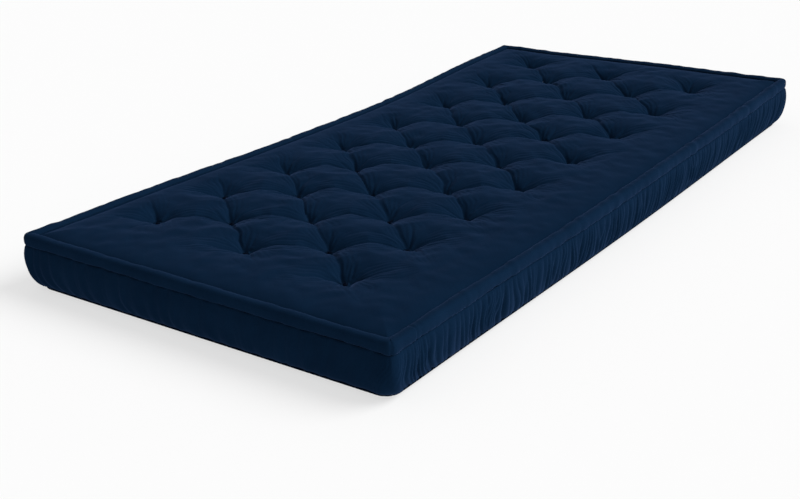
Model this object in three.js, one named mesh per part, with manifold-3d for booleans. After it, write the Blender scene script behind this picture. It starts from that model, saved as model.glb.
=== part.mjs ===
// A tufted futon mattress for one person, lying flat: a sewn cotton casing with a rolled top
// edge, a gathered side band and a base cord, three layers of filling, and the waxed twine ties
// that pull the two faces together. Millimetres, +Z up, +Y towards the head end, origin at the
// middle of the underside.
import * as THREE from "three";
import { mergeVertices } from "three/addons/utils/BufferGeometryUtils.js";
import Module from "manifold-3d";

const wasm = await Module();
wasm.setup();

// Driving dimensions.
const LENGTH = 1900;
const WIDTH = 900;
const HEIGHT = 120;
const TIGHTEST_RADIUS = 3; // of any corner, however far in
const TOP_ROUNDING = 14; // the corners are crisp at the rolled edge and rounder below it
const BASE_ROUNDING = 48;
const CLOTH = 2.5; // thickness of the quilted casing cloth
const FIT_GAP = 0.3; // clearance kept between neighbouring pieces
const CORNER_STEPS = 5; // straight pieces in each corner's arc

// Rolled edge round the top face: a stuffed square roll with rounded corners.
const ROLL_SIZE = 23;
const ROLL_INSET = 0.5; // its outer side, in from the widest outline
const ROLL_TOP = 116.8;

// Base cord, sewn between the side band and the underside.
const CORD_RADIUS = 4;
const CORD_INSET = 25;
const CORD_HEIGHT = 4.6;
const CORD_SIDES = 8;

// Top face: flat in the middle and sloping down to the rolled edge.
const TOP_RIM_INSET = 24;
const TOP_RIM_HEIGHT = 112;
const TOP_FLAT_INSET = 70;
const BASE_RIM_INSET = 29.5;

// Filling layers, by the height of the joints between them.
const CORE_BOTTOM = 40;
const CORE_TOP = 72;

// Tufting: rows of three ties with rows of two between them. It was set out by hand, so that the
// pattern sits a little off centre and out of square, and its rows spread towards the head.
const WIDE_ROWS = 8;
const ROW_PITCH = 108; // at the middle of the length
const TIE_PITCH = 259;
const TIE_SHIFT = [-32, -17];
const COLUMN_DRIFT = 2.5; // sideways, for each row
const ROW_LEAN = -22; // along the length, for each tie pitch across
const ROW_SPREAD = 0.77; // along the length, for the square of the row count from the middle
const TWINE_RADIUS = 1.2;
const ROSETTE_RADIUS = 8;
const ROSETTE_THICKNESS = 4;
const TIE_SIDES = 6;
const TURN_PER_TIE = 7.3; // degrees
const TWINE_HOLE_RADIUS = TWINE_RADIUS + 0.5;
const TOP_DIMPLE = { depth: 28, mouth: 44, seat: 9, sides: 6 };
const BASE_DIMPLE = { depth: 11, mouth: 26, seat: 9, sides: 6 };

const navy = { color: 0x14284a, roughness: 0.9, metalness: 0 };
const MATERIALS = {
  casing: new THREE.MeshStandardMaterial(navy),
  side: new THREE.MeshStandardMaterial({ ...navy, color: 0x12253f }),
  trim: new THREE.MeshStandardMaterial({ ...navy, color: 0x162c4c }),
  cotton: new THREE.MeshStandardMaterial({ color: 0xe9e1cf, roughness: 1, metalness: 0 }),
  latex: new THREE.MeshStandardMaterial({ color: 0xf0e8cc, roughness: 0.8, metalness: 0 }),
  twine: new THREE.MeshStandardMaterial({ color: 0x0b1526, roughness: 0.7, metalness: 0 }),
};

// Turns a closed three.js geometry into a manifold solid, for cutting and joining.
function solidFrom(geometry) {
  const bare = geometry.clone();
  bare.deleteAttribute("normal");
  bare.deleteAttribute("uv");
  const merged = mergeVertices(bare, 1e-4);
  return new wasm.Manifold(
    new wasm.Mesh({
      numProp: 3,
      vertProperties: new Float32Array(merged.attributes.position.array),
      triVerts: new Uint32Array(merged.index.array),
    }),
  );
}

// Turns a manifold solid back into a three.js geometry.
function geometryFrom(solid) {
  const mesh = solid.simplify(0.01).getMesh();
  return new THREE.BufferGeometry()
    .setAttribute("position", new THREE.BufferAttribute(mesh.vertProperties, 3))
    .setIndex(new THREE.BufferAttribute(mesh.triVerts, 1));
}

// The mattress outline, counter-clockwise, moved inwards by inset. rounding is the corner radius
// that the same outline would have at no inset.
function outline(inset, rounding) {
  const points = [];
  const radius = Math.max(rounding - inset, TIGHTEST_RADIUS);
  const middleX = WIDTH / 2 - inset - radius;
  const middleY = LENGTH / 2 - inset - radius;
  const quarters = [
    [1, 1],
    [-1, 1],
    [-1, -1],
    [1, -1],
  ];
  quarters.forEach(([sideX, sideY], quarter) => {
    for (let step = 0; step <= CORNER_STEPS; step++) {
      const angle = (quarter + step / CORNER_STEPS) * (Math.PI / 2);
      points.push([
        sideX * middleX + radius * Math.cos(angle),
        sideY * middleY + radius * Math.sin(angle),
      ]);
    }
  });
  return points;
}

// Builds a solid from vertex rows that share one count, joined row to row.
function skinned(rows, closed, caps) {
  const count = rows[0].length;
  const positions = rows.flat(2);
  const index = [];
  const last = closed ? rows.length : rows.length - 1;
  for (let row = 0; row < last; row++) {
    const next = (row + 1) % rows.length;
    for (let i = 0; i < count; i++) {
      const j = (i + 1) % count;
      const a = row * count + i;
      const b = row * count + j;
      const c = next * count + j;
      const d = next * count + i;
      index.push(a, b, c, a, c, d);
    }
  }
  if (caps) {
    const end = (rows.length - 1) * count;
    for (let i = 1; i < count - 1; i++) {
      index.push(0, i + 1, i);
      index.push(end, end + i, end + i + 1);
    }
  }
  return solidFrom(
    new THREE.BufferGeometry()
      .setAttribute("position", new THREE.Float32BufferAttribute(positions, 3))
      .setIndex(index),
  );
}

function outlineRows(levels) {
  return levels.map(([inset, z, rounding]) => outline(inset, rounding).map(([x, y]) => [x, y, z]));
}

// A layer that covers the whole mattress, given as [inset, height, rounding] from the bottom up.
function layer(levels) {
  return skinned(outlineRows(levels), false, true);
}

// A strip that runs round the mattress, given as a closed section of [inset, height, rounding]
// that climbs on its outer side and comes down on its inner side.
function border(section) {
  return skinned(outlineRows(section), true, false);
}

// The block of space that belongs to one side, bounded by the mitre planes at its two corners.
function sideBlock(side) {
  const reach = 20;
  const mitre = FIT_GAP / Math.SQRT2;
  const halfWidth = WIDTH / 2 + reach;
  const halfLength = LENGTH / 2 + reach;
  const spine = (LENGTH - WIDTH) / 2;
  const shapes = {
    right: [
      [0, -spine + mitre],
      [halfWidth, -halfLength + mitre],
      [halfWidth, halfLength - mitre],
      [0, spine - mitre],
    ],
    head: [
      [0, spine + mitre],
      [halfWidth - mitre, halfLength],
      [-halfWidth + mitre, halfLength],
    ],
  };
  const turned = { right: ["right", 1], left: ["right", -1], head: ["head", 1], foot: ["head", -1] };
  const [shape, sign] = turned[side];
  const corners = shapes[shape].map(([x, y]) => new THREE.Vector2(sign * x, sign * y));
  const block = new THREE.ExtrudeGeometry(new THREE.Shape(corners), {
    depth: HEIGHT + 2 * reach,
    bevelEnabled: false,
  });
  return solidFrom(block.translate(0, 0, -reach));
}

// Splits a border into its four sides, each ending in a mitre.
function fourSides(solid) {
  return ["foot", "right", "head", "left"].map((side) => [side, solid.intersect(sideBlock(side))]);
}

// Where the ties go through the mattress.
function tieCentres() {
  const centres = [];
  const rows = 2 * WIDE_ROWS - 1;
  for (let row = 0; row < rows; row++) {
    const across = row % 2 === 0 ? [-1, 0, 1] : [-0.5, 0.5];
    const count = row - (rows - 1) / 2;
    across.forEach((share) => {
      const x = share * TIE_PITCH + count * COLUMN_DRIFT + TIE_SHIFT[0];
      const y = count * ROW_PITCH + count ** 2 * ROW_SPREAD + share * ROW_LEAN + TIE_SHIFT[1];
      centres.push([x, y]);
    });
  }
  return centres;
}

const CENTRES = tieCentres();

// A round cutter along Z, from its bottom radius and height to its top ones.
function post([bottomRadius, bottom], [topRadius, top], sides) {
  const shape = new THREE.CylinderGeometry(topRadius, bottomRadius, top - bottom, sides);
  shape.rotateX(Math.PI / 2);
  return solidFrom(shape.translate(0, 0, (top + bottom) / 2));
}

// A copy of one cutter at every tie, joined into a single solid. Each copy is turned a little
// further than the last, so that the facets of neighbouring dimples never line up.
function atEveryTie(cutter) {
  const copies = CENTRES.map(([x, y], place) =>
    cutter.rotate([0, 0, place * TURN_PER_TIE]).translate([x, y, 0]),
  );
  return wasm.Manifold.union(copies);
}

// The dimples that the ties pull into a face. drop moves them down, for the layers below a face.
function dimples(shape, face, inward, drop) {
  const overrun = 2; // past the face, on the same slope, so that the cut leaves no film
  const slope = (shape.mouth - shape.seat) / shape.depth;
  const seat = [shape.seat, face + inward * shape.depth - drop];
  const mouth = [shape.mouth + slope * overrun, face - inward * overrun - drop];
  const ends = inward < 0 ? [seat, mouth] : [mouth, seat];
  return atEveryTie(post(...ends, shape.sides));
}

const topDimples = (drop) => dimples(TOP_DIMPLE, HEIGHT, -1, drop);
const baseDimples = (drop) => dimples(BASE_DIMPLE, 0, 1, drop);
const TWINE_HOLES = atEveryTie(
  post([TWINE_HOLE_RADIUS, -1], [TWINE_HOLE_RADIUS, HEIGHT + 1], TIE_SIDES),
);

// Upper cloth: follows the crowned face and its dimples.
function topPanel() {
  const outer = layer([
    [TOP_RIM_INSET, CORE_TOP, TOP_ROUNDING],
    [TOP_RIM_INSET, TOP_RIM_HEIGHT, TOP_ROUNDING],
    [TOP_FLAT_INSET, HEIGHT, TOP_ROUNDING],
  ]).subtract(topDimples(0));
  const inner = layer([
    [TOP_RIM_INSET - 1, CORE_BOTTOM, TOP_ROUNDING],
    [TOP_RIM_INSET - 1, TOP_RIM_HEIGHT - CLOTH, TOP_ROUNDING],
    [TOP_RIM_INSET + 1, TOP_RIM_HEIGHT - CLOTH, TOP_ROUNDING],
    [TOP_FLAT_INSET, HEIGHT - CLOTH, TOP_ROUNDING],
  ]).subtract(topDimples(CLOTH));
  return outer.subtract(inner).subtract(TWINE_HOLES);
}

// Lower cloth: flat on the floor between its shallow dimples.
function basePanel() {
  const thickness = 2;
  const inset = BASE_RIM_INSET + FIT_GAP;
  const reach = BASE_DIMPLE.depth + thickness;
  const space = layer([
    [inset, 0, BASE_ROUNDING],
    [inset, reach, BASE_ROUNDING],
  ]);
  const bosses = dimples(BASE_DIMPLE, 0, 1, -thickness).intersect(space);
  const plate = layer([
    [inset, 0, BASE_ROUNDING],
    [inset, thickness, BASE_ROUNDING],
  ]);
  return plate.add(bosses).subtract(baseDimples(0)).subtract(TWINE_HOLES);
}

function upperBatt() {
  const drop = CLOTH + FIT_GAP;
  return layer([
    [6.2, CORE_TOP + FIT_GAP, 20],
    [9.8, 92.6, 18],
    [TOP_RIM_INSET + 0.2, 93.2, 18],
    [TOP_RIM_INSET + 0.2, TOP_RIM_HEIGHT - drop - 0.3, 18],
    [TOP_FLAT_INSET, HEIGHT - drop, 18],
  ])
    .subtract(topDimples(drop))
    .subtract(TWINE_HOLES);
}

function core() {
  return layer([
    [7, CORE_BOTTOM + FIT_GAP, 36],
    [7, CORE_TOP, 26],
  ]).subtract(TWINE_HOLES);
}

function lowerBatt() {
  return layer([
    [30.5, 2 + FIT_GAP, 52],
    [29.9, 9.4, 52],
    [22.4, 9.8, 52],
    [13, 22.5, 46],
    [7.6, CORE_BOTTOM, 38],
  ])
    .subtract(baseDimples(-2 - FIT_GAP))
    .subtract(TWINE_HOLES);
}

// Side band: widest below the rolled edge, then tapering in towards the base cord.
function sideBand() {
  return border([
    [19.5, 6.2, BASE_ROUNDING],
    [14.5, 12, 44],
    [9, 22, 40],
    [3.8, 38, 34],
    [0.8, 56, 28],
    [0, 74, 22],
    [1.8, 86, 17],
    [6, 93.5, TOP_ROUNDING],
    [8.5, 93.5, TOP_ROUNDING],
    [4.2, 85, 17],
    [2.5, 74, 22],
    [3.3, 56.4, 28],
    [6.2, 38.8, 34],
    [11.2, 23.2, 40],
    [16.4, 13.8, 44],
    [21, 8.4, BASE_ROUNDING],
  ]);
}

// Rolled edge: a square section with rounded corners.
function edgeRoll() {
  const half = ROLL_SIZE / 2;
  const rounding = 0.55;
  const steps = 12;
  const section = [];
  for (let step = 0; step < steps; step++) {
    const angle = -Math.PI / 2 + ((step + 0.5) / steps) * 2 * Math.PI;
    const flatten = (value) => Math.sign(value) * Math.abs(value) ** rounding;
    section.push([
      ROLL_INSET + half - half * flatten(Math.cos(angle)),
      ROLL_TOP - half + half * flatten(Math.sin(angle)),
      TOP_ROUNDING,
    ]);
  }
  return border(section);
}

function baseCord() {
  const section = [];
  for (let side = 0; side < CORD_SIDES; side++) {
    const angle = -Math.PI / 2 + ((side + 0.5) / CORD_SIDES) * 2 * Math.PI;
    section.push([
      CORD_INSET - CORD_RADIUS * Math.cos(angle),
      CORD_HEIGHT + CORD_RADIUS * Math.sin(angle),
      BASE_ROUNDING,
    ]);
  }
  return border(section);
}

// One tie: twine through the whole thickness, with a felt rosette knotted on at each face.
function tieGeometry() {
  const topSeat = HEIGHT - TOP_DIMPLE.depth + FIT_GAP;
  const baseSeat = BASE_DIMPLE.depth - FIT_GAP;
  const profile = [
    [0, baseSeat - ROSETTE_THICKNESS],
    [ROSETTE_RADIUS, baseSeat - ROSETTE_THICKNESS],
    [ROSETTE_RADIUS, baseSeat],
    [TWINE_RADIUS, baseSeat],
    [TWINE_RADIUS, topSeat],
    [ROSETTE_RADIUS, topSeat],
    [ROSETTE_RADIUS, topSeat + ROSETTE_THICKNESS],
    [0, topSeat + ROSETTE_THICKNESS],
  ];
  const points = profile.map(([radius, z]) => new THREE.Vector2(radius, z));
  return new THREE.LatheGeometry(points, TIE_SIDES).rotateX(Math.PI / 2);
}

const mattress = new THREE.Group();

function addPart(name, geometry, material) {
  const mesh = new THREE.Mesh(geometry, material);
  mesh.name = name;
  mattress.add(mesh);
  return mesh;
}

addPart("top_panel", geometryFrom(topPanel()), MATERIALS.casing);
addPart("base_panel", geometryFrom(basePanel()), MATERIALS.casing);
addPart("upper_cotton_batt", geometryFrom(upperBatt()), MATERIALS.cotton);
addPart("latex_core", geometryFrom(core()), MATERIALS.latex);
addPart("lower_cotton_batt", geometryFrom(lowerBatt()), MATERIALS.cotton);

fourSides(sideBand()).forEach(([side, solid]) =>
  addPart(`side_band_${side}`, geometryFrom(solid), MATERIALS.side),
);
fourSides(edgeRoll()).forEach(([side, solid]) =>
  addPart(`edge_roll_${side}`, geometryFrom(solid), MATERIALS.trim),
);
fourSides(baseCord()).forEach(([side, solid]) =>
  addPart(`base_cord_${side}`, geometryFrom(solid), MATERIALS.trim),
);

const TIE = tieGeometry();
CENTRES.forEach(([x, y], place) => {
  const tie = addPart(`tuft_tie_${String(place + 1).padStart(2, "0")}`, TIE, MATERIALS.twine);
  tie.position.set(x, y, 0);
  tie.rotation.z = THREE.MathUtils.degToRad(place * TURN_PER_TIE);
});

export default mattress;
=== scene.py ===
"""The looks of the tufted futon mattress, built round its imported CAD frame.

The cloth pieces are grids of points. A small cloth solver in this file relaxes each one: the
sheet is cut fuller than the space it fills, the stuffing pushes it out, and the seams and ties
hold it. Lengths are in metres, +Z up, +Y towards the head end.
"""

import math

import bpy
import numpy as np
from mathutils import Matrix, Vector


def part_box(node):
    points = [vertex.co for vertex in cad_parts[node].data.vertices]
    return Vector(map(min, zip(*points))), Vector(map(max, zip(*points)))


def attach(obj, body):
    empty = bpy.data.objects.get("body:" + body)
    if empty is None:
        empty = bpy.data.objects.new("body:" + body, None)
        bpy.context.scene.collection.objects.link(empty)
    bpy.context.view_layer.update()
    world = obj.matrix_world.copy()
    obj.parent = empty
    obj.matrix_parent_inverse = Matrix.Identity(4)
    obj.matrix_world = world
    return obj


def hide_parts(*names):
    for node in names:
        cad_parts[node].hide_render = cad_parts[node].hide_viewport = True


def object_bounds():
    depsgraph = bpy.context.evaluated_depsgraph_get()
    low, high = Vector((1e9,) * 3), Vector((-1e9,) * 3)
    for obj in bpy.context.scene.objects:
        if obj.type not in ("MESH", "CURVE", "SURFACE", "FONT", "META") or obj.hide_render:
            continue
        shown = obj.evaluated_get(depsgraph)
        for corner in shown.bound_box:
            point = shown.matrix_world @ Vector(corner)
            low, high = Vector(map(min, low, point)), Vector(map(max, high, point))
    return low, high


MM = 0.001
SEED = 11

# Camera, fitted to the mattress outline.
LENS = 57.78
CAMERA_TARGET = (0.0685, -0.3752, 0.0)
CAMERA_AZIMUTH = 35.05
CAMERA_ELEVATION = 22.46
CAMERA_ROLL = -1.17
CAMERA_DISTANCE = 2.7802


# ---- frame and measures


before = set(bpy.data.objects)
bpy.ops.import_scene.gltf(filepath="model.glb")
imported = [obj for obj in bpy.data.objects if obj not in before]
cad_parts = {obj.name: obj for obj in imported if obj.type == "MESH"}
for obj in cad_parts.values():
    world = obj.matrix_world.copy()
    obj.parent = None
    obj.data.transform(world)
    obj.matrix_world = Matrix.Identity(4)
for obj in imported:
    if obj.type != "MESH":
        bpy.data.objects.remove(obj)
cad_low, cad_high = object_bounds()
HALF_WIDTH = cad_high.x
HALF_LENGTH = cad_high.y
TIES = sorted(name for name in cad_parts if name.startswith("tuft_tie_"))


def tie_places():
    """Middle of each tie in plan, as rows of x and y."""
    places = []
    for name in TIES:
        low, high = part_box(name)
        places.append(((low.x + high.x) / 2, (low.y + high.y) / 2))
    return np.array(places)


# ---- cloth solver

ROUNDS = 60
PUSH = 0.03
BEND = 0.01
THREAD_SHARE = 0.5
BIAS_SHARE = 0.3


def noise(shape, spacing, wave, rng):
    """Smooth random field of unit spread, with features of about the given wavelength."""
    across = np.fft.rfftfreq(shape[1], spacing)[None, :]
    along = np.fft.fftfreq(shape[0], spacing)[:, None]
    keep = np.exp(-0.5 * (np.hypot(along, across) * wave) ** 2)
    field = np.fft.irfft2(np.fft.rfft2(rng.standard_normal(shape)) * keep, s=shape)
    return field / field.std()


def resized(field, shape):
    """A grid field read at a finer or coarser spacing, straight between its points."""
    rows, columns = field.shape
    at_row = np.linspace(0, rows - 1, shape[0])
    at_column = np.linspace(0, columns - 1, shape[1])
    row = np.minimum(at_row.astype(int), rows - 2)
    column = np.minimum(at_column.astype(int), columns - 2)
    along = (at_row - row)[:, None]
    across = (at_column - column)[None, :]

    def read(row):
        return field[np.ix_(row, column)] * (1 - across) + field[np.ix_(row, column + 1)] * across

    return read(row) * (1 - along) + read(row + 1) * along


def thread_pairs(rows, columns, loop):
    """Neighbour pairs of a grid, in groups that share no point, as (kind, first, second)."""
    pairs = []
    everything = slice(None)
    for start in (0, 1):
        count = (columns - start) // 2
        first = (everything, slice(start, start + 2 * count, 2))
        second = (everything, slice(start + 1, start + 2 * count, 2))
        pairs.append(("across", first, second))
    for start in (0, 1):
        count = (rows - start) // 2
        upper = slice(start, start + 2 * count, 2)
        lower = slice(start + 1, start + 2 * count, 2)
        pairs.append(("along", (upper, everything), (lower, everything)))
        pairs.append(("bias", (upper, slice(0, columns - 1)), (lower, slice(1, columns))))
        pairs.append(("bias", (upper, slice(1, columns)), (lower, slice(0, columns - 1))))
        if loop:
            pairs.append(("bias", (upper, slice(-1, None)), (lower, slice(0, 1))))
            pairs.append(("bias", (upper, slice(0, 1)), (lower, slice(-1, None))))
    if loop:
        pairs.append(("across", (everything, slice(-1, None)), (everything, slice(0, 1))))
    return pairs


def neighbour_pull(field):
    """Sum of the four neighbours less four times the point, for a grid's inner points."""
    around = field[:, :-2, 1:-1] + field[:, 2:, 1:-1] + field[:, 1:-1, :-2] + field[:, 1:-1, 2:]
    return around - 4 * field[:, 1:-1, 1:-1]


def bend_back(points, stiffness, loop):
    """Resists bending: moves each point against the fourth difference of its neighbours."""
    field = points
    if loop:
        field = np.concatenate([points[:, :, -2:], points, points[:, :, :2]], axis=2)
    spread = np.zeros_like(field)
    spread[:, 1:-1, 1:-1] = neighbour_pull(field)
    change = neighbour_pull(spread)
    if loop:
        points[:, 1:-1, :] -= stiffness * change[:, :, 1:-1]
    else:
        points[:, 1:-1, 1:-1] -= stiffness * change


def relax(points, target, fullness, outward, held, push=PUSH, bend=BEND, loop=False, floor=None):
    """Lets a sheet find its rest shape.

    The sheet is cut to the lengths of target times fullness, a pair of factors across and along.
    The stuffing brings each point towards target along outward, by the share push each round,
    and the cloth resists bending away from the target's own folds. Held points stay where they
    are, and none sinks below the floor.
    """
    rows, columns = points.shape[1:]
    pairs = thread_pairs(rows, columns, loop)
    across, along = [np.broadcast_to(factor, (rows, columns)) for factor in fullness]
    factors = {"across": across, "along": along, "bias": (across + along) / 2}
    slack = []
    for kind, first, second in pairs:
        gap = target[(slice(None), *second)] - target[(slice(None), *first)]
        factor = 0.5 * (factors[kind][first] + factors[kind][second])
        slack.append((np.sqrt((gap * gap).sum(axis=0)) * factor).astype(np.float32))
    points, target, outward = [field.astype(np.float32) for field in (points, target, outward)]
    fixed = points[:, held].copy()
    for _ in range(ROUNDS):
        gap = ((target - points) * outward).sum(axis=0)
        points += push * gap * outward
        points -= target
        bend_back(points, np.float32(bend), loop)
        points += target
        for (kind, first, second), length in zip(pairs, slack):
            here = (slice(None), *first)
            there = (slice(None), *second)
            gap = points[there] - points[here]
            size = np.sqrt((gap * gap).sum(axis=0))
            share = BIAS_SHARE if kind == "bias" else THREAD_SHARE
            gap *= share * (1 - length / size)
            points[here] += gap
            points[there] -= gap
        points[:, held] = fixed
        if floor is not None:
            np.maximum(points[2], floor, out=points[2])
    return points


# ---- meshes


def grid_faces(rows, columns, offset=0):
    """Quads of a grid of points, as index rows."""
    index = np.arange(rows * columns).reshape(rows, columns) + offset
    return np.stack(
        [index[:-1, :-1], index[:-1, 1:], index[1:, 1:], index[1:, :-1]], axis=-1
    ).reshape(-1, 4)


def ring_normals(points):
    """Unit normal at each point of a grid whose last column meets its first."""
    across = (np.roll(points, -1, axis=2) - np.roll(points, 1, axis=2)) / 2
    normals = np.cross(across, np.gradient(points, axis=1), axis=0)
    return normals / np.maximum(np.sqrt((normals**2).sum(axis=0)), 1e-12)


def add_object(name, data):
    made = bpy.data.objects.new(name, data)
    bpy.context.scene.collection.objects.link(made)
    return made


def closed_sheet(name, front, back, skip=4, coordinates=None, normals=None):
    """A closed body from a fine front grid and a back grid read at every skip-th point.

    Both are arrays of shape (3, rows, columns), and rows and columns are one more than a
    multiple of skip. The front's normals follow rows cross columns.
    """
    rows, columns = front.shape[1:]
    coarse = back[:, ::skip, ::skip]
    back_rows, back_columns = coarse.shape[1:]
    points = np.concatenate([front.reshape(3, -1), coarse.reshape(3, -1)], axis=1).T
    start = rows * columns
    faces = grid_faces(rows, columns).tolist()
    faces += grid_faces(back_rows, back_columns, offset=start)[:, ::-1].tolist()
    fine = np.arange(rows * columns).reshape(rows, columns)
    far = np.arange(back_rows * back_columns).reshape(back_rows, back_columns) + start
    borders = [
        (fine[0, ::-1], far[0, ::-1]),
        (fine[-1, :], far[-1, :]),
        (fine[:, 0], far[:, 0]),
        (fine[::-1, -1], far[::-1, -1]),
    ]
    for near_edge, far_edge in borders:
        for k in range(len(far_edge) - 1):
            run = near_edge[k * skip : (k + 1) * skip + 1]
            faces.append([int(far_edge[k]), int(far_edge[k + 1]), *map(int, run[::-1])])
    mesh = bpy.data.meshes.new(name)
    mesh.from_pydata(points.tolist(), [], faces)
    mesh.validate()
    mesh.polygons.foreach_set("use_smooth", np.ones(len(mesh.polygons), bool))
    if coordinates is not None:
        full = np.concatenate(
            [coordinates.reshape(2, -1), coordinates[:, ::skip, ::skip].reshape(2, -1)], axis=1
        )
        store_cloth_coordinates(mesh, full)
    if normals is not None:
        shading = np.zeros((len(mesh.vertices), 3))
        shading[:start] = normals.reshape(3, -1).T
        mesh.normals_split_custom_set_from_vertices(shading.tolist())
    mesh.update()
    return add_object(name, mesh)


def store_cloth_coordinates(mesh, values):
    """Keeps where each point lies in the flat cloth, in metres, for the weave to follow."""
    layer = mesh.attributes.new("cloth", "FLOAT_VECTOR", "POINT")
    flat = np.zeros((len(mesh.vertices), 3), np.float32)
    flat[:, :2] = values.T
    layer.data.foreach_set("vector", flat.ravel())


# ---- materials

SHEEN_TINT = (0.26, 0.43, 0.95, 1)
# The darker latex colour is painted shade inside the pin holes; the lighter one is the foam's cream.
LATEX_HOLE_SHADE = (0.3, 0.24, 0.15)
LATEX_LIGHT = (0.78, 0.7, 0.52)
DRILL_RIBS = 0.010806
TRIM_RIBS = 0.009005
PIPING_RIBS = 0.0081045
TWINE_RIBS = 0.007204


def set_inputs(node, **inputs):
    """Sets some of a node's inputs, by name with _ for a space."""
    for key, value in inputs.items():
        node.inputs[key.replace("_", " ")].default_value = value


def add_node(tree, kind, **inputs):
    made = tree.nodes.new(kind)
    set_inputs(made, **inputs)
    return made


def blended(tree, first, second, share):
    """share of the first value plus the rest of the second."""
    rest = add_node(tree, "ShaderNodeMath")
    rest.operation = "MULTIPLY"
    rest.inputs[1].default_value = 1 - share
    tree.links.new(second, rest.inputs[0])
    both = add_node(tree, "ShaderNodeMath")
    both.operation = "MULTIPLY_ADD"
    both.inputs[1].default_value = share
    tree.links.new(first, both.inputs[0])
    tree.links.new(rest.outputs[0], both.inputs[2])
    return both.outputs[0]


def paint(tree, shader, value, dark, light, start=0.3, end=0.72):
    """Colours a material from dark to light as value goes from start to end."""
    ramp = tree.nodes.new("ShaderNodeValToRGB")
    ramp.color_ramp.elements[0].position = start
    ramp.color_ramp.elements[0].color = (*dark, 1)
    ramp.color_ramp.elements[1].position = end
    ramp.color_ramp.elements[1].color = (*light, 1)
    tree.links.new(value, ramp.inputs["Fac"])
    tree.links.new(ramp.outputs["Color"], shader.inputs["Base Color"])


def add_bumps(tree, shader, heights):
    """Stacks bumps, given as (height output, distance in metres, strength) rows."""
    normal = None
    for height, distance, strength in heights:
        bump = add_node(tree, "ShaderNodeBump", Strength=strength, Distance=distance)
        tree.links.new(height, bump.inputs["Height"])
        if normal is not None:
            tree.links.new(normal, bump.inputs["Normal"])
        normal = bump.outputs["Normal"]
    tree.links.new(normal, shader.inputs["Normal"])


def cloth_place(tree):
    """Where a point lies in the flat cloth."""
    place = tree.nodes.new("ShaderNodeAttribute")
    place.attribute_name = "cloth"
    return place.outputs["Vector"]


def diagonal_ribs(tree, place, spacing, distortion):
    """Soft diagonal ribs, spacing metres apart. At scale 1 the texture's are 0.444 m apart."""
    scale = math.pi * math.sqrt(0.02) / spacing
    ribs = add_node(tree, "ShaderNodeTexWave", Scale=scale, Distortion=distortion)
    ribs.wave_type = "BANDS"
    ribs.bands_direction = "DIAGONAL"
    tree.links.new(place, ribs.inputs["Vector"])
    return ribs.outputs["Fac"]


def new_material(name, roughness, specular):
    material = bpy.data.materials.new(name)
    material.use_nodes = True
    tree = material.node_tree
    shader = tree.nodes["Principled BSDF"]
    set_inputs(shader, Roughness=roughness, Specular_IOR_Level=specular)
    return material, tree, shader


def cloth_material(name, dark, light, ribs, sheen=0.11):
    """Brushed cotton: faint broad diagonal ribs, a short nap and slightly uneven dye."""
    material, tree, shader = new_material(name, 0.9, 0.0)
    set_inputs(shader, Sheen_Weight=sheen, Sheen_Roughness=0.35, Sheen_Tint=SHEEN_TINT)
    place = cloth_place(tree)
    patches = add_node(tree, "ShaderNodeTexNoise", Scale=11.0, Detail=4.0, Roughness=0.6)
    nap = add_node(tree, "ShaderNodeTexNoise", Scale=380.0, Detail=3.0, Roughness=0.65)
    for texture in (patches, nap):
        tree.links.new(place, texture.inputs["Vector"])
    wave = diagonal_ribs(tree, place, ribs, 0.6)
    dye = blended(tree, nap.outputs["Fac"], patches.outputs["Fac"], 0.5)
    paint(tree, shader, dye, dark, light)
    heights = [(nap.outputs["Fac"], 0.0005, 0.4), (wave, 0.0002, 0.25)]
    add_bumps(tree, shader, heights)
    return material


def fibre_material(name, dark, light, scale, depth):
    """Matted fibres: cotton felt and wool tufts."""
    material, tree, shader = new_material(name, 0.95, 0.02)
    place = tree.nodes.new("ShaderNodeTexCoord")
    cloud = add_node(tree, "ShaderNodeTexNoise", Scale=scale, Detail=6.0, Roughness=0.7)
    hairs = add_node(tree, "ShaderNodeTexNoise", Scale=scale * 6, Detail=3.0, Roughness=0.6)
    set_inputs(hairs, Distortion=2.5)
    for texture in (cloud, hairs):
        tree.links.new(place.outputs["Object"], texture.inputs["Vector"])
    mixed = blended(tree, cloud.outputs["Fac"], hairs.outputs["Fac"], 0.5)
    paint(tree, shader, mixed, dark, light)
    heights = [(cloud.outputs["Fac"], depth, 0.6), (hairs.outputs["Fac"], depth / 3, 0.6)]
    add_bumps(tree, shader, heights)
    return material


def latex_material(name):
    """Cream latex foam: pin holes on an even grid, painted dark as painted shade inside them, and a
    fine open skin.
    """
    material, tree, shader = new_material(name, 0.6, 0.35)
    place = tree.nodes.new("ShaderNodeTexCoord")
    holes = add_node(tree, "ShaderNodeTexVoronoi", Scale=50.0, Randomness=0.15)
    holes.feature = "F1"
    skin = add_node(tree, "ShaderNodeTexNoise", Scale=240.0, Detail=4.0, Roughness=0.6)
    tree.links.new(place.outputs["Object"], holes.inputs["Vector"])
    tree.links.new(place.outputs["Object"], skin.inputs["Vector"])
    depth = holes.outputs["Distance"]
    # Painted shade: the colour darkens towards each hole's middle, where shade falls inside it.
    paint(tree, shader, depth, LATEX_HOLE_SHADE, LATEX_LIGHT, 0.1, 0.2)
    heights = [(depth, 0.002, 0.7), (skin.outputs["Fac"], 0.0003, 0.5)]
    add_bumps(tree, shader, heights)
    return material


def twine_material(name, dark, light, spacing):
    """Waxed thread with slow diagonal bands, along the length kept in the cloth coordinates."""
    material, tree, shader = new_material(name, 0.8, 0.02)
    bands = diagonal_ribs(tree, cloth_place(tree), spacing, 0.8)
    paint(tree, shader, bands, dark, light)
    add_bumps(tree, shader, [(bands, 0.0003, 0.7)])
    return material


NAVY_DARK, NAVY_LIGHT = (0.0022, 0.0094, 0.0246), (0.004, 0.0151, 0.0379)
TRIM_DARK, TRIM_LIGHT = (0.0024, 0.0098, 0.0254), (0.0043, 0.0158, 0.0394)
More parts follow.
